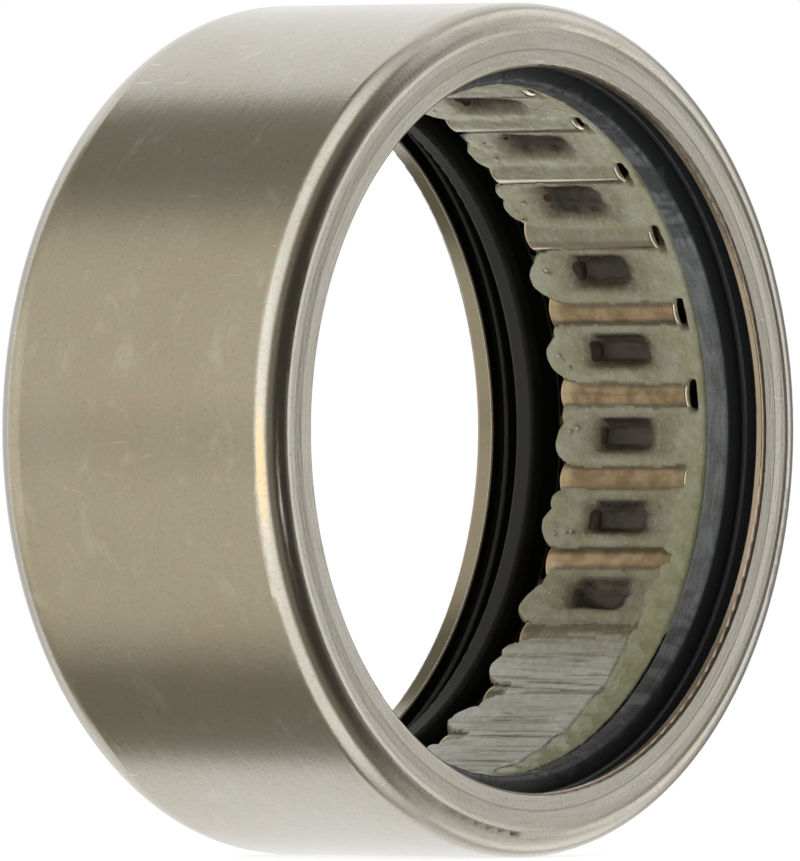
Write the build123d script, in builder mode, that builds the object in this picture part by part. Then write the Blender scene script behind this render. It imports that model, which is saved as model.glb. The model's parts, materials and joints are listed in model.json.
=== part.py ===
from build123d import *
import os

# Sealed drawn-cup needle roller bearing for a 30 mm shaft, 37 mm outside, 16 mm wide.
#
# Millimetres. The bearing's axis is Y and the origin is the middle of the ring. The front
# end, whose lip is rolled in after assembly, faces -Y. The back end, which is the drawn
# bottom of the cup, faces +Y. Radii are measured from the Y axis, and places along it are
# plain Y values.

# ---------------------------------------------------------------- driving dimensions
shaft_diameter = 30.0
outer_diameter = 37.0
cup_width = 16.0

roller_count = 26
roller_diameter = 2.5
roller_length = 7.2
roller_edge_radius = 0.2
first_roller_angle = 5.8        # degrees from +X towards +Z

# The cup is deep-drawn from thin strip and case hardened.
cup_wall = 0.96
front_shoulder = 1.1
back_shoulder = 2.05
front_lip_bore = 31.4
back_lip_bore = 31.0
front_lip_thickness = 0.5
thinned_rim_wall = 0.55
thinned_rim_length = 2.1
front_stop_ring_width = 0.8
front_trough_depth = 0.015

# The cage is one pierced strip, bent to an M across its width.
cage_sheet = 0.42
cage_bore = 30.6
cage_crown_height = 1.1
cage_crown_width = 2.3
cage_web_width = 0.6
cage_flange_diameter = 34.4
cage_bend_radius = 0.4
pocket_length = 7.8
pocket_clearance = 0.1
cage_middle = -0.8
roller_middle = -0.72

# Running clearance between a roller and the cup with the bearing out of its housing.
running_clearance = 0.02

# Each seal is one moulded rubber ring with a sealing lip and a low dust rib.
seal_lip_bore = shaft_diameter
front_lip_outer_edge = 6.35
front_lip_inner_edge = 5.3
front_rib_place = 6.8
back_lip_outer_edge = 5.4
back_lip_inner_edge = 4.4
back_rib_place = 6.55
seal_rib_bore = 31.6
seal_heel_bore = 32.7
seal_edge_radius = 0.2
seal_seat_gap = 0.04

# ---------------------------------------------------------------- worked-out dimensions
outer_radius = outer_diameter / 2
front_face = -cup_width / 2
back_face = cup_width / 2
raceway_radius = outer_radius - cup_wall
roller_radius = roller_diameter / 2
pitch_radius = raceway_radius - running_clearance - roller_radius
roller_step = 360 / roller_count
rim_radius = outer_radius - thinned_rim_wall
rim_step = front_face + thinned_rim_length
front_lip_inside = front_face + front_lip_thickness
back_lip_inside = back_face - cup_wall
pocket_back = cage_middle + pocket_length / 2
roller_back = roller_middle + roller_length / 2


def across_axis(place):
    """Plane square to the bearing axis at a place along Y, with X and Z as its own axes."""
    return Plane.XZ.offset(-place)


def outline_radii(corners):
    """Split (radius, place, corner rounding) triples into points and roundings."""
    points = [(radius, place) for radius, place, rounding in corners]
    roundings = [rounding for radius, place, rounding in corners]
    return points, roundings


# ---------------------------------------------------------------- drawn cup
def make_drawn_cup():
    """Thin hardened shell: raceway, drawn back lip and rolled-in front lip."""
    stop_ring_edge = front_lip_bore / 2 + front_stop_ring_width
    trough = front_face + front_trough_depth
    trough_start = stop_ring_edge + 0.4
    trough_end = trough_start + 0.3
    trough_rise = 0.18
    soft = 0.5
    corners = [
        (outer_radius, front_face, front_shoulder),
        (outer_radius, back_face, back_shoulder),
        (back_lip_bore / 2, back_face, 0.22),
        (back_lip_bore / 2, back_lip_inside, 0.12),
        (raceway_radius, back_lip_inside, back_shoulder - cup_wall),
        (raceway_radius, rim_step, 0),
        (rim_radius, rim_step, 0),
        (rim_radius, front_lip_inside, front_shoulder - thinned_rim_wall),
        (front_lip_bore / 2, front_lip_inside, 0.1),
        (front_lip_bore / 2, front_face, 0.16),
        (stop_ring_edge, front_face, soft),
        (trough_start, trough, soft),
        (trough_end, trough, soft),
        (trough_end + trough_rise, front_face, 0),
    ]
    points, roundings = outline_radii(corners)
    with BuildPart() as drawn_cup:
        with BuildSketch(Plane.XY):
            with BuildLine():
                FilletPolyline(*points, radius=roundings, close=True)
            make_face()
        revolve(axis=Axis.Y)
    return drawn_cup


# ---------------------------------------------------------------- seals
def make_seal(side, seat_radius, heel_face, heel_rounding, rib_place, lip_outer, lip_inner):
    """Rubber ring whose heel fills the corner of the cup and whose lip meets the shaft.

    side is -1 at the front and +1 at the back. The places are distances from the middle
    of the bearing: heel_face lies against the cup's lip, rib_place is the middle of the
    dust rib, and lip_outer and lip_inner are the edges of the sealing lip's bore.
    """
    lip_radius = seal_lip_bore / 2
    heel_radius = seal_heel_bore / 2
    heel_back = lip_outer - 0.4
    rib_half_width = 0.13
    corners = [
        (seat_radius, heel_back, 0.15),
        (seat_radius, heel_face, heel_rounding),
        (heel_radius, heel_face, 0.15),
        (heel_radius, rib_place + 2 * rib_half_width, 0.1),
        (seal_rib_bore / 2, rib_place + rib_half_width, 0.08),
        (seal_rib_bore / 2, rib_place - rib_half_width, 0.08),
        (heel_radius, rib_place - 2 * rib_half_width, 0.09),
        (heel_radius - 0.1, lip_outer, 0.09),
        (lip_radius, lip_outer, seal_edge_radius),
        (lip_radius, lip_inner, seal_edge_radius),
        (lip_radius + 0.7, lip_inner, 0.3),
        (lip_radius + 1.4, heel_back - 0.15, 0.3),
    ]
    points, roundings = outline_radii(corners)
    placed = [(radius, side * place) for radius, place in points]
    with BuildPart() as seal:
        with BuildSketch(Plane.XY):
            with BuildLine():
                FilletPolyline(*placed, radius=roundings, close=True)
            make_face()
        revolve(axis=Axis.Y)
    return seal


# ---------------------------------------------------------------- cage
def make_cage():
    """Strip bent to an M: two flanges and two inner lands, with a raised crown between them.

    Each pocket is a round hole along a roller's own axis. It is narrower than the roller
    at the lands and at the crown, so that the rollers can't fall out of the ring.
    """
    land = cage_bore / 2 + cage_sheet / 2
    crown = land + cage_crown_height
    flange_place = (pocket_length + cage_sheet) / 2
    crown_half = cage_crown_width / 2
    web_foot = crown_half + cage_web_width
    half_line = [
        (cage_flange_diameter / 2, flange_place),
        (land, flange_place),
        (land, web_foot),
        (crown, crown_half),
    ]
    front_points = [(radius, cage_middle - place) for radius, place in half_line]
    back_points = [(radius, cage_middle + place) for radius, place in reversed(half_line)]
    with BuildPart() as cage:
        with BuildSketch(Plane.XY):
            with BuildLine():
                FilletPolyline(*front_points, *back_points, radius=cage_bend_radius)
            trace(line_width=cage_sheet)
        revolve(axis=Axis.Y)
        with BuildSketch(across_axis(pocket_back)):
            with PolarLocations(pitch_radius, roller_count, start_angle=first_roller_angle):
                Circle(roller_radius + pocket_clearance)
        extrude(amount=pocket_length, mode=Mode.SUBTRACT)
    return cage


# ---------------------------------------------------------------- needle rollers
def make_roller(number):
    """Hardened needle with flat ends and rounded edges, at its own place in the cage."""
    angle = first_roller_angle + (number - 1) * roller_step
    with BuildPart() as roller:
        with BuildSketch(across_axis(roller_back)):
            with PolarLocations(pitch_radius, 1, start_angle=angle):
                Circle(roller_radius)
        extrude(amount=roller_length)
        fillet(roller.edges().filter_by(GeomType.CIRCLE), roller_edge_radius)
    return roller


# ---------------------------------------------------------------- the pieces
os.makedirs("parts", exist_ok=True)

drawn_cup = make_drawn_cup()
drawn_cup.part.label = "drawn_cup"
export_step(drawn_cup.part, "parts/drawn_cup.step")

front_seal = make_seal(
    side=-1,
    seat_radius=rim_radius,
    heel_face=-front_lip_inside - seal_seat_gap,
    heel_rounding=front_shoulder - thinned_rim_wall + 0.05,
    rib_place=front_rib_place,
    lip_outer=front_lip_outer_edge,
    lip_inner=front_lip_inner_edge,
)
front_seal.part.label = "front_seal"
export_step(front_seal.part, "parts/front_seal.step")

back_seal = make_seal(
    side=1,
    seat_radius=raceway_radius,
    heel_face=back_lip_inside - seal_seat_gap,
    heel_rounding=back_shoulder - cup_wall + 0.05,
    rib_place=back_rib_place,
    lip_outer=back_lip_outer_edge,
    lip_inner=back_lip_inner_edge,
)
back_seal.part.label = "back_seal"
export_step(back_seal.part, "parts/back_seal.step")

cage = make_cage()
cage.part.label = "cage"
export_step(cage.part, "parts/cage.step")

for number in range(1, roller_count + 1):
    name = f"roller_{number:02d}"
    roller = make_roller(number)
    roller.part.label = name
    export_step(roller.part, f"parts/{name}.step")
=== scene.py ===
import json

import bpy
import numpy as np
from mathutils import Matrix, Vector


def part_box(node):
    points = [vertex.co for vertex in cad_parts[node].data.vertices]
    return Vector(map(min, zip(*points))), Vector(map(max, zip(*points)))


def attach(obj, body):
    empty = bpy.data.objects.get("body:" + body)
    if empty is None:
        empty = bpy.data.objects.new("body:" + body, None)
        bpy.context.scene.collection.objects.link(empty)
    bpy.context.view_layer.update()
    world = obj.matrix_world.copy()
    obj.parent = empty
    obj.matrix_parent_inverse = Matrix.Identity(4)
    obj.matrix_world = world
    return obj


# Sealed drawn-cup needle roller bearing: its steel, rubber and grease, on a pale floor.
#
# Metres. The bearing's axis is Y, its front face looks towards -Y, and Z is up. The packed
# model gives every place; MM turns a size in millimetres into metres.

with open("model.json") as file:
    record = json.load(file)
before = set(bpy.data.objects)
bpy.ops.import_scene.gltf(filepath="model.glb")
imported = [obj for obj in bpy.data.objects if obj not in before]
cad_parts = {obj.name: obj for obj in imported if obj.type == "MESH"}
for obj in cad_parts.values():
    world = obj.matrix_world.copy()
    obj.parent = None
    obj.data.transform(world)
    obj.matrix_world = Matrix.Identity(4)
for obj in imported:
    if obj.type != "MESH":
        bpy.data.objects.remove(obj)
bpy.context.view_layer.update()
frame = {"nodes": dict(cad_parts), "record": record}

MM = 0.001


# ---------------------------------------------------------------- places read from the frame
CUP_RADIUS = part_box("drawn_cup")[1].x
ROLLER_LOW, ROLLER_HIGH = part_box("roller_01")
ROLLER_RADIUS = (ROLLER_HIGH.x - ROLLER_LOW.x) / 2
ROLLER_MIDDLE = (ROLLER_LOW + ROLLER_HIGH) / 2
PITCH_RADIUS = float(np.hypot(ROLLER_MIDDLE.x, ROLLER_MIDDLE.z))
ROLLER_NAMES = sorted(name for name in frame["nodes"] if name.startswith("roller_"))
ROLLER_COUNT = len(ROLLER_NAMES)
ROLLER_STEP = 2 * np.pi / ROLLER_COUNT
FIRST_ROLLER = float(np.arctan2(ROLLER_MIDDLE.z, ROLLER_MIDDLE.x))

# Places in millimetres that the finishes and the grease share.
CAGE_BORE_RADIUS = 15.3
FRONT_LIP_RADIUS = 15.7
GREASE_LEVEL = 15.13
GREASE_FRONT = -5.22
GREASE_BACK = 3.96
LOBES_START = 1.9

# The angle from +X towards +Z where the grease lies thickest, near the bottom.
LOWEST_GREASE = np.radians(-82)


# ---------------------------------------------------------------- shader expressions
class Value:
    """A number socket; Python's operators on it add the Math nodes that they stand for."""

    def __init__(self, graph, socket):
        self.graph = graph
        self.socket = socket

    def math(self, operation, *others):
        inputs = dict(enumerate((self, *others)))
        node = self.graph.node("ShaderNodeMath", {"operation": operation}, inputs)
        return Value(self.graph, node.outputs[0])

    def __add__(self, other):
        return self.math("ADD", other)

    __radd__ = __add__

    def __sub__(self, other):
        return self.math("SUBTRACT", other)

    def __rsub__(self, other):
        return self.math("MULTIPLY", -1.0).math("ADD", other)

    def __mul__(self, other):
        return self.math("MULTIPLY", other)

    __rmul__ = __mul__

    def __pow__(self, other):
        return self.math("POWER", other)

    def step(self, low, high):
        """0 below low, 1 above high and a smooth rise between; low may be the larger."""
        inputs = {"Value": self, "From Min": low, "From Max": high}
        settings = {"interpolation_type": "SMOOTHSTEP"}
        return Value(self.graph, self.graph.node("ShaderNodeMapRange", settings, inputs).outputs[0])

    def band(self, middle, half_width, softness):
        """1 within half_width of middle, falling smoothly to 0 over softness."""
        away = (self - middle).math("ABSOLUTE")
        return away.step(half_width + softness, half_width)


class Graph:
    """The nodes of one material or of the world."""

    def __init__(self, tree):
        self.tree = tree
        tree.nodes.clear()

    def node(self, kind, settings=None, inputs=None):
        """Adds a node: its settings are made first, then its sockets get values or links."""
        made = self.tree.nodes.new(kind)
        for name, value in (settings or {}).items():
            setattr(made, name, value)
        for name, value in (inputs or {}).items():
            self.join(value, made.inputs[name])
        return made

    def join(self, value, socket):
        if isinstance(value, Value):
            self.tree.links.new(value.socket, socket)
        elif isinstance(value, bpy.types.NodeSocket):
            self.tree.links.new(value, socket)
        else:
            socket.default_value = value

    def place(self):
        """Object coordinates in millimetres, as a vector socket."""
        source = self.node("ShaderNodeTexCoord").outputs["Object"]
        return self.scaled(source, (1 / MM, 1 / MM, 1 / MM))

    def scaled(self, vector, factors):
        inputs = {0: vector, 1: factors}
        return self.node("ShaderNodeVectorMath", {"operation": "MULTIPLY"}, inputs).outputs[0]

    def parts(self, vector):
        """The x, y and z of a vector as Values."""
        node = self.node("ShaderNodeSeparateXYZ", None, {0: vector})
        return [Value(self, socket) for socket in node.outputs]

    def vector(self, x, y, z):
        return self.node("ShaderNodeCombineXYZ", None, {0: x, 1: y, 2: z}).outputs[0]

    def noise(self, vector, scale, detail=2.0, roughness=0.5, distortion=0.0):
        inputs = {
            "Vector": vector,
            "Scale": scale,
            "Detail": detail,
            "Roughness": roughness,
            "Distortion": distortion,
        }
        return Value(self, self.node("ShaderNodeTexNoise", None, inputs).outputs["Fac"])

    def cells(self, vector, scale, randomness=1.0):
        """Distance to the nearest of a scatter of points."""
        inputs = {"Vector": vector, "Scale": scale, "Randomness": randomness}
        return Value(self, self.node("ShaderNodeTexVoronoi", None, inputs).outputs["Distance"])

    def attribute(self, name):
        return Value(self, self.node("ShaderNodeAttribute", {"attribute_name": name}).outputs["Fac"])

    def mix(self, factor, first, second):
        """Colour from first to second as factor goes from 0 to 1."""
        node = self.node("ShaderNodeMix", {"data_type": "RGBA"}, {0: factor, 6: first, 7: second})
        return node.outputs[2]

    def bump(self, height, distance):
        """A bumped normal; distance is the height in metres that a change of 1 stands for."""
        inputs = {"Height": height, "Distance": distance, "Strength": 1.0}
        return self.node("ShaderNodeBump", None, inputs).outputs[0]


def colour(red, green, blue):
    """A linear colour from the usual 0 to 255 display values."""
    display = np.array([red, green, blue]) / 255
    linear = np.where(display <= 0.04045, display / 12.92, ((display + 0.055) / 1.055) ** 2.4)
    return (*[float(part) for part in linear], 1.0)


def new_material(name, **sockets):
    """A material with one Principled shader, whose sockets are given by name."""
    material = bpy.data.materials.new(name)
    material.use_nodes = True
    graph = Graph(material.node_tree)
    shader = graph.node("ShaderNodeBsdfPrincipled")
    output = graph.node("ShaderNodeOutputMaterial")
    graph.join(shader.outputs[0], output.inputs["Surface"])
    for key, value in sockets.items():
        shader.inputs[key.replace("_", " ")].default_value = value
    return material, graph, shader


# ---------------------------------------------------------------- cup steel
def cup_steel():
    """Tumbled, hardened strip: warm satin grey with fine grain, soft rubs and stains."""
    material, graph, shader = new_material("cup_steel", Metallic=1.0)
    place = graph.place()
    x, y, z = graph.parts(place)
    radius = (x * x + z * z) ** 0.5
    on_face = y.step(-7.2, -7.75)
    on_side = radius.step(18.0, 18.4)

    grain = graph.noise(place, 7.0, 3.0, 0.7)
    hues = graph.noise(place, 3.4, 3.0, 0.6)
    drawn = graph.noise(graph.scaled(place, (0.35, 3.2, 0.35)), 0.8, 3.0, 0.6)
    turned = graph.noise(graph.vector(radius * 3.4, x * 0.2, z * 0.2), 2.4, 3.0, 0.65)
    clouds = graph.noise(place, 0.22, 4.0, 0.55)
    rubs = graph.noise(graph.scaled(place, (0.5, 0.9, 0.5)), 0.8, 4.0, 0.62, 0.6).step(0.54, 0.8)
    nicks = graph.noise(graph.scaled(place, (1.0, 0.3, 2.6)), 1.1, 2.0, 0.5, 2.0).step(0.71, 0.76)
    stains = graph.noise(place, 0.13, 2.0, 0.5).step(0.45, 0.7)
    pits = graph.cells(place, 2.2).step(0.13, 0.05) * graph.noise(place, 0.8).step(0.45, 0.62)
    front_half = y.step(0.0, -1.0)
    lip_bore = radius.step(FRONT_LIP_RADIUS + 0.08, FRONT_LIP_RADIUS + 0.03)
    lip_round = radius.band(FRONT_LIP_RADIUS + 0.07, 0.035, 0.04) * front_half
    lip_line = radius.band(16.46, 0.02, 0.05) * on_face

    base = graph.mix(clouds.step(0.3, 0.7), colour(184, 179, 167), colour(190, 186, 177))
    base = graph.mix(stains * 0.3, base, colour(176, 164, 138))
    base = graph.mix(hues.step(0.4, 0.62) * 0.5, base, colour(172, 174, 158))
    base = graph.mix(hues.step(0.55, 0.38) * 0.4, base, colour(186, 172, 162))
    base = graph.mix(grain.step(0.52, 0.74) * 0.45, base, colour(150, 145, 134))
    base = graph.mix(rubs * on_side * 0.4, base, colour(214, 214, 208))
    base = graph.mix(nicks * 0.35, base, colour(228, 226, 218))
    base = graph.mix(on_face * turned.step(0.5, 0.68) * 0.3, base, colour(150, 143, 134))
    # Painted shade: a thin darker ring along the step in the front face.
    base = graph.mix(lip_line * 0.4, base, colour(110, 102, 92))
    base = graph.mix(pits * 0.35, base, colour(100, 94, 84))
    # Painted reflection: a dark brown line along the rounded inner edge of the front lip.
    base = graph.mix(lip_round * 0.75, base, colour(104, 92, 76))
    # Painted highlight: a cream line on the front lip's bore. The back lip's bore is made darker
    # brown.
    base = graph.mix(lip_bore * front_half * 0.55, base, colour(190, 170, 156))
    base = graph.mix(lip_bore * y.step(-1.0, 0.0) * 0.5, base, colour(132, 122, 106))
    graph.join(base, shader.inputs["Base Color"])

    roughness = 0.15 + (grain - 0.5) * 0.07 + rubs * 0.06 + on_side * 0.03
    roughness = roughness + on_face * (0.07 + (turned - 0.5) * 0.08) + lip_round * 0.2
    graph.join(roughness, shader.inputs["Roughness"])

    height = grain * 0.35 + drawn * on_side * 0.3 - pits * 0.4 + on_face * turned * 0.5
    height = height + on_face * (radius - FRONT_LIP_RADIUS - 0.1) * 1.5
    graph.join(graph.bump(height, 0.012 * MM), shader.inputs["Normal"])
    return material


# ---------------------------------------------------------------- roller steel
def roller_steel():
    """Ground and lapped needle: bright, with faint grinding lines and an oil film."""
    material, graph, shader = new_material("roller_steel", Metallic=1.0, Coat_Roughness=0.12)
    place = graph.place()
    y, z = graph.parts(place)[1:]
    film = graph.noise(place, 1.1, 3.0, 0.55)
    lines = graph.noise(graph.scaled(place, (6.0, 0.5, 6.0)), 1.6, 3.0, 0.6)
    rings = graph.noise(graph.scaled(place, (0.6, 14.0, 0.6)), 1.0, 2.0, 0.6)
    base = graph.mix(film.step(0.35, 0.65), colour(134, 118, 98), colour(162, 145, 122))
    base = graph.mix(lines.step(0.5, 0.7) * 0.4, base, colour(120, 97, 74))
    # Painted highlight: rollers high in the ring are lightened towards white.
    base = graph.mix(z.step(5.0, 9.0) * 0.6, base, colour(232, 222, 204))
    base = graph.mix(y.step(1.9, 2.5) * 0.4, base, colour(214, 196, 168))
    # Painted highlight: a near-white line along each roller's front edge, where the roughness is also
    # lower.
    edge = y.step(-4.15, -4.22)
    base = graph.mix(edge, base, colour(248, 238, 224))
    graph.join(base, shader.inputs["Base Color"])
    graph.join(0.13 + (film - 0.5) * 0.14 + rings * 0.05 - edge * 0.06, shader.inputs["Roughness"])
    graph.join(film.step(0.4, 0.7) * 0.6, shader.inputs["Coat Weight"])
    graph.join(graph.bump(lines * 0.6 + rings * 0.3, 0.004 * MM), shader.inputs["Normal"])
    return material


# ---------------------------------------------------------------- cage steel
def cage_steel():
    """Dull pressed strip under an oil film, brown in the hollows."""
    material, graph, shader = new_material("cage_steel", Metallic=0.85, Coat_Roughness=0.1)
    place = graph.place()
    x, y, z = graph.parts(place)
    radius = (x * x + z * z) ** 0.5
    deep = radius.step(15.6, 16.3)
    film = graph.noise(place, 1.6, 3.0, 0.6)
    grain = graph.noise(place, 14.0, 3.0, 0.7)
    base = graph.mix(film.step(0.35, 0.7), colour(66, 54, 47), colour(86, 68, 59))
    base = graph.mix(deep * 0.6, base, colour(74, 56, 50))
    # Painted shade: the cage darkens to near black towards its back end.
    base = graph.mix(y.step(2.3, 2.8) * 0.9, base, colour(24, 21, 19))
    base = graph.mix(grain.step(0.5, 0.72) * 0.5, base, colour(60, 52, 48))
    graph.join(base, shader.inputs["Base Color"])
    graph.join(0.38 + (grain - 0.5) * 0.2 - film.step(0.5, 0.7) * 0.08, shader.inputs["Roughness"])
    graph.join(film.step(0.3, 0.6) * 0.5, shader.inputs["Coat Weight"])
    graph.join(graph.bump(grain, 0.012 * MM), shader.inputs["Normal"])
    return material


# ---------------------------------------------------------------- seal rubber
def seal_rubber():
    """Moulded black rubber with a painted bluish sheen on its sealing land, strongest on the front
    seal and at the sides, and a thin smear of grease.
    """
    material, graph, shader = new_material("seal_rubber", Specular_IOR_Level=0.42)
    place = graph.place()
    x, y, z = graph.parts(place)
    radius = (x * x + z * z) ** 0.5
    land = radius.step(15.35, 15.1)
    grain = graph.noise(place, 11.0, 3.0, 0.65)
    smear = graph.noise(graph.scaled(place, (0.5, 2.2, 0.5)), 1.4, 4.0, 0.6, 0.8)
    facing = 1 - z.math("ABSOLUTE").step(7.0, 15.0) * 0.65
    # Painted sheen: a bluish grey reflection painted into the sealing land's base colour, weaker
    # towards top and bottom.
    painted_sheen = land * facing * (0.5 + smear.step(0.3, 0.7) * 0.5) * (0.03 + y.step(0.0, -1.0) * 0.93)
    behind = y.step(-1.0, 0.0)
    # Painted shade: the back seal is made darker than the front one.
    base = graph.mix(behind, colour(40, 41, 43), colour(13, 14, 15))
    base = graph.mix(painted_sheen * 0.6, base, colour(142, 148, 152))
    graph.join(base, shader.inputs["Base Color"])
    graph.join(0.36 + behind * 0.3 + (grain - 0.5) * 0.22 - land * 0.08, shader.inputs["Roughness"])
    graph.join(graph.bump(grain * 0.5 + smear * 0.8, 0.02 * MM), shader.inputs["Normal"])
    return material


# ---------------------------------------------------------------- finishes on the CAD nodes
def finish_nodes():
    """Gives every CAD node the finish of its material slot."""
    finishes = {
        "cup_steel": cup_steel(),
        "seal_rubber": seal_rubber(),
        "cage_steel": cage_steel(),
        "roller_steel": roller_steel(),
    }
    for part in frame["record"]["subparts"]:
        node = frame["nodes"][part["node"]]
        node.data.materials.clear()
        node.data.materials.append(finishes[part["material_slot"]])


finish_nodes()


# ---------------------------------------------------------------- grease
def rise(value, low, high):
    """0 below low, 1 above high and 3t^2 - 2t^3 between; low may be the larger."""
    part = np.clip((value - low) / (high - low), 0, 1)
    return part * part * (3 - 2 * part)


def waves(turn, along, seed, turns, rate, count=36):
    """A smooth random pattern whose usual size is 1: a sum of cosines, each of a whole number of
    turns times the turn angle, plus a rate times the place along the axis, plus a phase."""
    random = np.random.default_rng(seed)
    whole = random.integers(turns[0], turns[1] + 1, count)
    rates = random.uniform(-rate, rate, count)
    phases = random.uniform(0, 2 * np.pi, count)
    angles = turn[..., None] * whole + along[..., None] * rates + phases
    return np.cos(angles).sum(axis=-1) / np.sqrt(count / 2)


def ring_sheet(name, turn, along, radius, material, body, marks):
    """A sheet round the axis, facing it, from grids (turn step, axial step) of turn angle, place
    along the axis in mm and radius in mm. The last turn step joins the first, and marks are
    grids kept as attributes for the material."""
    columns, rows = radius.shape
    points = np.stack([radius * np.cos(turn), along, radius * np.sin(turn)], axis=-1) * MM
    index = np.arange(columns * rows).reshape(columns, rows)
    after = np.roll(index, -1, axis=0)
    corners = (index[:, :-1], after[:, :-1], after[:, 1:], index[:, 1:])
    faces = np.stack(corners, axis=-1).reshape(-1, 4)
    mesh = bpy.data.meshes.new(name)
    mesh.from_pydata(points.reshape(-1, 3), [], faces)
    mesh.shade_smooth()
    for key, values in marks.items():
        layer = mesh.attributes.new(key, "FLOAT", "POINT")
        layer.data.foreach_set("value", values.astype(np.float32).ravel())
    mesh.materials.append(material)
    piece = bpy.data.objects.new(name, mesh)
    bpy.context.scene.collection.objects.link(piece)
    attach(piece, body)
    return piece


def per_bar(seed, low, high, bar):
    """A random number from low to high for each cage bar, looked up by bar number."""
    return np.random.default_rng(seed).uniform(low, high, ROLLER_COUNT)[bar]


def grease_finish():
    """Lithium grease: pale olive and cloudy where thick, brown and clear where thin."""
    material, graph, shader = new_material("grease", IOR=1.47)
    place = graph.place()
    film = graph.attribute("film")
    white = graph.attribute("white")
    green = graph.attribute("green")
    thin = graph.attribute("thin")
    deep = graph.attribute("deep")
    shade = graph.attribute("shade")
    clouds = graph.noise(place, 0.8, 3.0, 0.55)
    specks = graph.noise(place, 4.5, 3.0, 0.65)
    lumps = graph.cells(place, 2.1)
    streaks = graph.noise(graph.scaled(place, (3.4, 0.2, 3.4)), 1.0, 3.0, 0.6, 0.4)
    base = graph.mix(clouds.step(0.35, 0.65), colour(150, 146, 118), colour(162, 163, 143))
    base = graph.mix(thin * 0.8, base, colour(104, 92, 72))
    base = graph.mix(green * 0.6, base, colour(158, 162, 124))
    base = graph.mix(specks.step(0.5, 0.72) * 0.3, base, colour(186, 188, 168))
    base = graph.mix(specks.step(0.48, 0.3) * 0.25, base, colour(116, 108, 88))
    base = graph.mix(white * streaks.step(0.3, 0.52), base, colour(206, 208, 202))
    base = graph.mix(white * streaks.step(0.6, 0.7) * 0.75, base, colour(92, 88, 76))
    floor = graph.mix(clouds.step(0.4, 0.6), colour(58, 56, 51), colour(76, 64, 57))
    base = graph.mix(deep * 0.95, base, floor)
    base = graph.mix(shade * 0.85, base, colour(26, 24, 22))
    graph.join(base, shader.inputs["Base Color"])
    graph.join(0.24 + (specks - 0.5) * 0.2 + white * 0.1, shader.inputs["Roughness"])
    graph.join(film, shader.inputs["Alpha"])
    height = specks * 0.6 + lumps * 0.9 + streaks * white * 1.2
    graph.join(graph.bump(height, 0.06 * MM), shader.inputs["Normal"])
    return material


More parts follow.
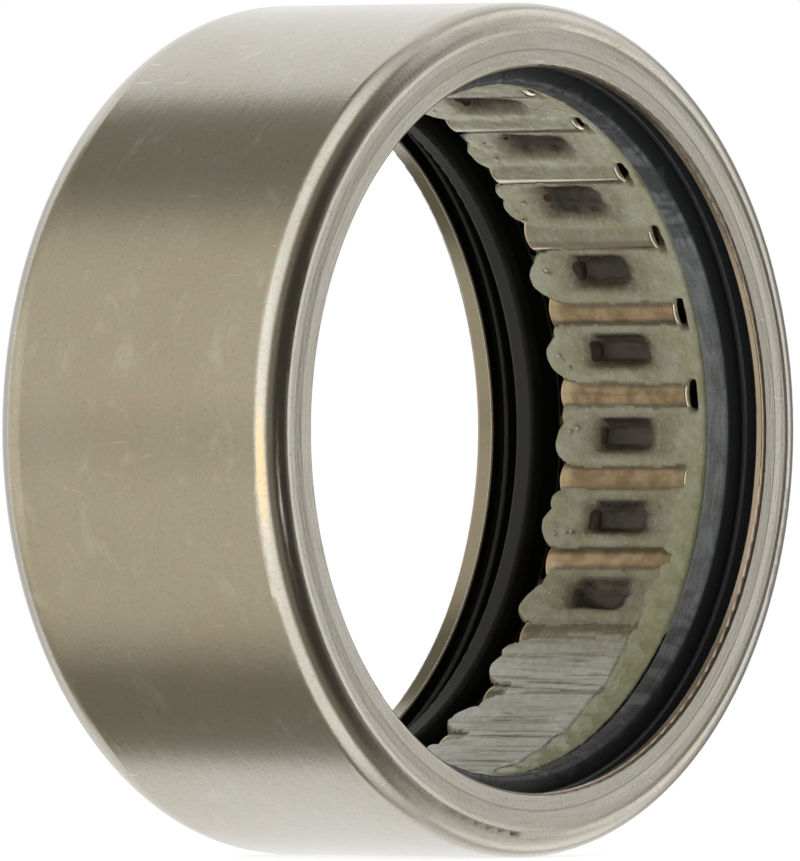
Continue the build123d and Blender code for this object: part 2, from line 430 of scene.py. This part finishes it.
def make_grease(finish):
    """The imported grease: one sheet that bridges the rollers' sides, sinks into the hollow of
    each cage bar, ends in lobes behind, and rolls over the cage's front rim in a bead.

    Radius = level + hollow + drop at the back end + gap at a roller's front end, blended towards
    the bead and towards the wiped smear, or a film on the roller where that is further in.
    """
    bar_columns = 34
    columns = ROLLER_COUNT * bar_columns
    turns = (np.arange(columns) + 0.5) / columns * 2 * np.pi + FIRST_ROLLER
    front_rows = np.arange(GREASE_FRONT, -3.2, 0.06)
    middle_rows = np.arange(-3.2, 1.5, 0.13)
    back_rows = np.arange(1.5, GREASE_BACK, 0.06)
    rows = np.concatenate([front_rows, middle_rows, back_rows])
    turn, along = np.meshgrid(turns, rows, indexing="ij")

    pitch = CAGE_BORE_RADIUS * ROLLER_STEP
    bar_part = (turn - FIRST_ROLLER) / ROLLER_STEP
    bar = np.floor(bar_part).astype(int) % ROLLER_COUNT
    across = (bar_part - np.floor(bar_part) - 0.5) * pitch
    nearest_roller = np.round(bar_part).astype(int) % ROLLER_COUNT
    from_roller = (bar_part - np.round(bar_part)) * ROLLER_STEP
    roller_side = np.clip(np.sin(from_roller) * PITCH_RADIUS / MM, -1.2, 1.2)
    roller_surface = np.cos(from_roller) * PITCH_RADIUS / MM
    roller_surface = roller_surface - np.sqrt((ROLLER_RADIUS / MM) ** 2 - roller_side**2)
    height = np.sin(turn)
    from_low = np.cos(turn - LOWEST_GREASE)
    heavy = from_low + 0.02 * waves(turn, along, 9, (20, 80), 2.5)
    heavy = rise(heavy, np.cos(np.radians(56)), np.cos(np.radians(40)))

    level = GREASE_LEVEL + 0.02 * waves(turn, along, 3, (14, 60), 2.5)
    level = level + 0.012 * waves(turn, along, 4, (60, 170), 7.0)

    upper = per_bar(10, 0.9, 1.02, bar) + 0.3 * rise(height, 0.35, 0.6)
    lower = per_bar(11, 0.72, 0.9, bar)
    side_edge = np.where(across > 0, across / upper, -across / lower)
    hollow = rise(side_edge, 1.0, 0.3)
    hollow = hollow * rise(along, per_bar(12, -3.1, -2.8, bar), per_bar(13, -1.5, -1.2, bar))
    hollow = hollow * rise(along, per_bar(14, 1.2, 1.5, bar), per_bar(15, 0.1, 0.5, bar))
    hollow = hollow * (1 - 0.8 * heavy)
    radius = level + hollow * per_bar(16, 0.55, 0.75, bar)
    halo = rise(side_edge, 1.45, 0.7) * rise(along, -4.0, -2.4) * rise(along, 2.4, 0.9)
    dark_edge = rise(across / upper, 0.5, 0.72) * rise(across / upper, 1.0, 0.86)
    shade = dark_edge * rise(along, -2.5, -1.9) * rise(along, 0.9, 0.4) * (1 - heavy)

    back_end = np.full_like(along, LOBES_START)
    swell = np.zeros_like(along)
    lobes = ((21, -0.4, 0.0, 1.1, 1.35, 1.6, 1.95), (31, 0.5, 0.95, 0.6, 0.85, 0.9, 1.7))
    for seed, *limits in lobes:
        middle = per_bar(seed, limits[0], limits[1], bar)
        half = per_bar(seed + 1, limits[2], limits[3], bar)
        reach = per_bar(seed + 2, limits[4], limits[5], bar)
        lobe = np.sqrt(np.clip(1 - ((across - middle) / half) ** 2, 0, 1))
        back_end = np.maximum(back_end, LOBES_START + reach * lobe)
        far = (along - (1.5 + reach)) / 0.9
        swell = np.maximum(swell, np.clip(lobe**2 - far**2, 0, 1))
    back_end = back_end + heavy * 0.15 + 0.03 * waves(turn, along * 0, 5, (30, 90), 0.0)
    back_end = np.minimum(back_end, 3.9)
    over = np.clip((along - back_end + 0.5) / 0.5, 0, 1)
    radius = radius - 0.1 * swell + 1.35 * (1 - np.sqrt(1 - over**2))

    gap_open = per_bar(41, 0.3, 1.2, nearest_roller) * rise(height, -0.15, 0.12)
    near_roller = rise(np.abs(roller_side), 0.78, 0.55)
    gap = near_roller * rise(along, -4.25, -4.36) * rise(along, -4.8, -4.68)
    radius = radius + 2.2 * gap * np.clip(gap_open, 0, 1)

    bead_size = 0.18 + 0.82 * rise(from_low, np.cos(np.radians(100)), np.cos(np.radians(42)))
    bead_width = 0.3 + 1.55 * bead_size + 0.1 * waves(turn, along * 0, 6, (12, 60), 0.0)
    bead_part = np.clip((along + 5.2) / bead_width, 0, 1)
    bead = np.sqrt(np.clip(1 - (2 * bead_part - 1) ** 2, 0, 1)) * bead_size
    lumps = 1 + 0.25 * waves(turn, along, 7, (20, 90), 3.0)
    radius = radius * (1 - bead) + (15.1 - 0.14 * lumps * bead_size) * bead
    front_drop = np.clip((-4.98 - along) / 0.26, 0, 1)
    radius = radius + 0.8 * (1 - np.sqrt(1 - front_drop**2))

    grooves = rise(waves(turn, along, 8, (80, 200), 0.5), 0.5, 1.6)
    smear = heavy * rise(along, back_end - 0.15, back_end - 0.5) * (1 - np.clip(bead * 3, 0, 1))
    radius = radius * (1 - smear) + (14.985 + 0.12 * grooves) * smear

    film = 1 - 0.3 * hollow
    film = np.where(along > -4.3, film, 1.0)
    film = np.maximum(film, np.clip(2.2 * bead, 0, 1))
    film = np.maximum(film, smear * (1 - 0.6 * grooves))

    on_roller = (np.abs(from_roller * CAGE_BORE_RADIUS) < 0.78) & (along > -4.2) & (along < 2.78)
    skin = roller_surface - 0.02
    cover = 0.85 * rise(np.abs(roller_side), 0.26, 0.66) * (1 - over)
    cover = np.maximum(cover, 0.94 * rise(height, 0.4, 0.55) * rise(roller_side, -0.2, 0.1))
    cover = np.maximum(cover, 0.55 * rise(height, -0.42, -0.52))
    cover = cover * rise(along, 2.78, 2.5)
    skinned = on_roller & (skin < radius)
    radius = np.where(skinned, skin, radius)
    film = np.where(skinned, cover, film)

    white = smear * rise(from_low, np.cos(np.radians(50)), np.cos(np.radians(36)))
    green = np.clip(bead * 1.5, 0, 1) * bead_size
    skin_thin = 0.9 - 0.55 * rise(height, 0.4, 0.55)
    thin = np.where(skinned, skin_thin, 0.5 * rise(np.abs(roller_side), 0.8, 0.5))
    thin = np.maximum(thin, halo * 0.8)
    thin = thin * (1 - np.clip(bead * 1.5, 0, 1)) * rise(along, -4.6, -4.3) * (1 - 0.7 * smear)
    marks = {"film": film, "thin": thin, "white": white, "green": green}
    marks["deep"] = rise(hollow, 0.0, 0.9)
    marks["shade"] = shade
    return ring_sheet("cage_grease", turn, along, radius, finish, "cage", marks)


def make_lip_smear(finish):
    """Grease that the front seal's lip carries: a thin ragged skin over its inner edge, which
    runs from the sealing land round the edge and a little way up the lip's outer face."""
    columns = 720
    edge = np.radians(np.linspace(0, 90, 7))
    along_edge = -6.15 - 0.235 * np.sin(edge)
    radius_edge = 15.2 - 0.235 * np.cos(edge)
    profile_along = np.concatenate([[-5.5, -5.7, -5.9], along_edge, np.full(6, -6.385)])
    face_radius = 15.2 + np.linspace(0.08, 0.48, 6)
    profile_radius = np.concatenate([[14.97, 14.966, 14.965], radius_edge, face_radius])
    step = np.arange(len(profile_along)) / (len(profile_along) - 1)
    turns = (np.arange(columns) + 0.5) / columns * 2 * np.pi
    turn, place = np.meshgrid(turns, step, indexing="ij")
    along = np.broadcast_to(profile_along, turn.shape)
    radius = np.broadcast_to(profile_radius, turn.shape)
    ragged = waves(turn, along, 51, (12, 70), 2.0) + 0.6 * waves(turn, along, 52, (70, 200), 5.0)
    more = rise(np.abs(np.sin(turn)), 0.35, 0.85)
    reach = 0.5 + 0.25 * more + 0.12 * ragged
    film = rise(place, reach, reach - 0.2) * rise(ragged + 1.4 * more, 0.4, 1.3) * (0.12 + 0.5 * more)
    film = film[:, ::-1]
    turn, along, radius = turn[:, ::-1], along[:, ::-1], radius[:, ::-1]
    return ring_sheet("front_lip_smear", turn, along, radius, finish, "cup", {"film": film})


def make_drops(finish):
    """Small drops that stand on the grease's lobes behind the rollers.

    Each is a ball from a grid of two angles, tilt and spin, flattened along the radius:
    reach = size * (1 + bulges * (cos 2 spin, sin 3 spin, cos 2 tilt)).
    """
    sunk_radius = 15.08
    flatness = 0.55
    random = np.random.default_rng(61)
    count = 78
    bar = np.arange(count) % ROLLER_COUNT
    turn = FIRST_ROLLER + (bar + 0.5 + random.uniform(-0.22, 0.18, count)) * ROLLER_STEP
    along = random.uniform(1.7, 2.75, count)
    size = random.uniform(0.07, 0.15, count)
    bulge = random.uniform(0.02, 0.08, (count, 3))
    middle = np.stack([sunk_radius * np.cos(turn), along, sunk_radius * np.sin(turn)], axis=-1)
    out = np.stack([np.cos(turn), np.zeros(count), np.sin(turn)], axis=-1)
    side = np.stack([-np.sin(turn), np.zeros(count), np.cos(turn)], axis=-1)
    axis = np.broadcast_to(np.array([0.0, 1.0, 0.0]), out.shape)

    rings, spokes = 7, 12
    tilt = (np.arange(rings) + 0.5) / rings * np.pi
    spin = np.arange(spokes) / spokes * 2 * np.pi
    tilt, spin = np.meshgrid(tilt, spin, indexing="ij")
    lobes = np.stack([np.cos(2 * spin), np.sin(3 * spin), np.cos(2 * tilt)])
    swell = 1 + np.einsum("ck,krs->crs", bulge, lobes)
    reach = size[:, None, None] * swell
    flat = (np.sin(tilt) * np.cos(spin) * reach)[..., None] * side[:, None, None, :]
    long = (np.sin(tilt) * np.sin(spin) * reach * 1.2)[..., None] * axis[:, None, None, :]
    high = (-np.cos(tilt) * reach * flatness)[..., None] * out[:, None, None, :]
    shell = middle[:, None, None, :] + flat + long + high
    poles = middle[:, None, :] + np.stack([-out, out], axis=1) * (size * flatness)[:, None, None]
    points = np.concatenate([shell.reshape(count, -1, 3), poles], axis=1)

    ring_index = np.arange(rings * spokes).reshape(rings, spokes)
    beside = np.roll(ring_index, -1, axis=1)
    quads = np.stack([ring_index[:-1], ring_index[1:], beside[1:], beside[:-1]], axis=-1)
    near_pole, far_pole = rings * spokes, rings * spokes + 1
    first = np.full(spokes, near_pole)
    last = np.full(spokes, far_pole)
    near_cap = np.stack([ring_index[0], beside[0], first], axis=-1)
    far_cap = np.stack([beside[-1], ring_index[-1], last], axis=-1)
    offsets = np.arange(count)[:, None, None] * (rings * spokes + 2)
    faces = (quads.reshape(-1, 4) + offsets).reshape(-1, 4).tolist()
    faces += (near_cap + offsets).reshape(-1, 3).tolist()
    faces += (far_cap + offsets).reshape(-1, 3).tolist()
    mesh = bpy.data.meshes.new("grease_drops")
    mesh.from_pydata((points.reshape(-1, 3) * MM).tolist(), [], faces)
    mesh.shade_smooth()
    mesh.materials.append(finish)
    piece = bpy.data.objects.new("grease_drops", mesh)
    bpy.context.scene.collection.objects.link(piece)
    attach(piece, "cage")
    return piece


def lip_smear_finish():
    """Grease worked thin over black rubber: a bluish grey film, mottled."""
    material, graph, shader = new_material("lip_smear", IOR=1.47)
    place = graph.place()
    mottle = graph.noise(place, 2.6, 3.0, 0.6)
    grain = graph.noise(place, 9.0, 3.0, 0.6)
    base = graph.mix(mottle.step(0.35, 0.65), colour(52, 55, 60), colour(76, 78, 79))
    base = graph.mix(grain.step(0.5, 0.7) * 0.4, base, colour(62, 62, 64))
    graph.join(base, shader.inputs["Base Color"])
    graph.join(graph.attribute("film"), shader.inputs["Alpha"])
    graph.join(0.34 + (grain - 0.5) * 0.2, shader.inputs["Roughness"])
    graph.join(graph.bump(mottle + grain * 0.4, 0.03 * MM), shader.inputs["Normal"])
    return material


def drop_finish():
    """Oil that has bled out of the grease: olive, wet and smooth."""
    material, graph, shader = new_material("grease_drop", IOR=1.47, Coat_Weight=1.0)
    place = graph.place()
    clouds = graph.noise(place, 3.0, 2.0, 0.5)
    base = graph.mix(clouds.step(0.35, 0.65), colour(146, 146, 118), colour(180, 184, 164))
    graph.join(base, shader.inputs["Base Color"])
    graph.join(0.08 + clouds.step(0.4, 0.7) * 0.08, shader.inputs["Roughness"])
    graph.join(graph.bump(clouds, 0.01 * MM), shader.inputs["Normal"])
    return material


make_grease(grease_finish())
make_lip_smear(lip_smear_finish())
make_drops(drop_finish())


# ---------------------------------------------------------------- floor
def make_floor():
    """A round pale floor that the bearing stands on."""
    floor_radius = 0.6
    turns = np.linspace(0, 2 * np.pi, 97)[:-1]
    rim = np.stack([floor_radius * np.cos(turns), floor_radius * np.sin(turns)], axis=1)
    points = np.column_stack([rim, np.full(len(rim), -CUP_RADIUS)])
    mesh = bpy.data.meshes.new("floor")
    mesh.from_pydata(points.tolist(), [], [list(range(len(points)))])
    floor = bpy.data.objects.new("floor", mesh)
    bpy.context.scene.collection.objects.link(floor)
    material, graph, shader = new_material("floor_paint", Roughness=0.9)
    patches = graph.noise(graph.place(), 0.02, 2.0)
    base = graph.mix(patches, (0.9, 0.9, 0.9, 1.0), (0.94, 0.94, 0.94, 1.0))
    graph.join(base, shader.inputs["Base Color"])
    graph.join(base, shader.inputs["Emission Color"])
    shader.inputs["Emission Strength"].default_value = 0.7
    mesh.materials.append(material)
    floor.visible_glossy = False
    return floor


make_floor()


# ---------------------------------------------------------------- studio
def cap(graph, direction, toward, half_angle, softness):
    """1 for directions within half_angle degrees of toward, smooth to 0 over softness."""
    axis = Vector(toward).normalized()
    inputs = {0: direction, 1: tuple(axis)}
    node = graph.node("ShaderNodeVectorMath", {"operation": "DOT_PRODUCT"}, inputs)
    cosine = Value(graph, node.outputs["Value"])
    inner = float(np.cos(np.radians(half_angle)))
    outer = float(np.cos(np.radians(half_angle + softness)))
    return cosine.step(outer, inner)


def make_studio():
    """A light tent: white behind the bearing, soft panels at its side, darker in front."""
    world = bpy.data.worlds.new("studio")
    bpy.context.scene.world = world
    world.use_nodes = True
    graph = Graph(world.node_tree)
    direction = graph.node("ShaderNodeTexCoord").outputs["Generated"]
    x, y = graph.parts(direction)[:2]
    backdrop = cap(graph, direction, (0.78, 0.63, 0.0), 58, 1.5) * y.step(0.2, 0.5)
    back_shade = cap(graph, direction, (0.3, 0.95, 0.0), 14, 14)
    left_wall = cap(graph, direction, (-0.78, 0.63, 0.0), 34, 22)
    left_back = cap(graph, direction, (-0.45, 0.89, 0.0), 10, 16)
    panels = cap(graph, direction, (-0.67, 0.63, 0.39), 12, 16)
    panels = panels + cap(graph, direction, (-0.63, 0.63, -0.45), 12, 16)
    near_right = cap(graph, direction, (0.845, -0.535, 0.0), 10, 6)
    sides = cap(graph, direction, (0.74, -0.36, 0.56), 19, 14)
    sides = sides + cap(graph, direction, (0.74, -0.36, -0.56), 19, 14)
    dark_front = cap(graph, direction, (0.2, -0.98, 0.0), 28, 20)
    dark_right = cap(graph, direction, (1.0, 0.0, 0.0), 14, 14)
    ring = y.band(0.0, 0.2, 0.3)
    ring_power = 0.5 + x.step(0.4, -0.2) * 0.65
    low_sun = cap(graph, direction, (-0.98, 0.03, -0.15), 8, 10)
    glint = cap(graph, direction, (-0.065, -0.985, -0.155), 1.2, 1.2)
    light = 0.28 + backdrop * 0.8 - back_shade * 0.3 + left_wall * 0.32 + left_back * 0.22
    light = light + panels * 0.18 + near_right * 1.05 + ring * (1 - dark_right) * ring_power
    light = light + y.step(0.68, 0.86) * x.step(0.3, -0.1) * 0.12
    light = light * (1 - dark_front * 0.75) + sides * 0.65 + low_sun * 0.7 + glint * 8
    bright = (backdrop + ring + near_right + sides + glint).step(0.0, 1.0)
    tint = graph.mix(bright, (1.0, 0.93, 0.76, 1.0), (1.0, 1.0, 1.0, 1.0))
    tint = graph.mix(low_sun, tint, (1.0, 0.8, 0.52, 1.0))
    surround = graph.node("ShaderNodeBackground", None, {"Color": tint, "Strength": light})
    paper = graph.node("ShaderNodeBackground", None, {"Color": (1, 1, 1, 1), "Strength": 1.0})
    seen = graph.node("ShaderNodeLightPath").outputs["Is Camera Ray"]
    both = graph.node("ShaderNodeMixShader", None, {0: seen})
    graph.join(surround.outputs[0], both.inputs[1])
    graph.join(paper.outputs[0], both.inputs[2])
    output = graph.node("ShaderNodeOutputWorld")
    graph.join(both.outputs[0], output.inputs["Surface"])


make_studio()


# ---------------------------------------------------------------- camera
def make_camera():
    """A long lens level with the axis, well round to the front left of the bearing."""
    turn = np.radians(51.157)
    back = Vector((-np.sin(turn), -np.cos(turn), 0.0))
    right = Vector((np.cos(turn), -np.sin(turn), 0.0))
    target = Vector((0.0, -0.23 * MM, 0.0)) - right * (0.05 * MM) - Vector((0, 0, 0.018 * MM))
    camera_data = bpy.data.cameras.new("camera")
    camera_data.lens = 957
    camera_data.sensor_width = 36
    camera_data.clip_end = 20
    camera = bpy.data.objects.new("camera", camera_data)
    bpy.context.scene.collection.objects.link(camera)
    camera.location = target + back * 0.9946
    camera.rotation_euler = (-back).to_track_quat("-Z", "Y").to_euler()
    bpy.context.scene.camera = camera
    bpy.context.scene.view_settings.view_transform = "Standard"


make_camera()
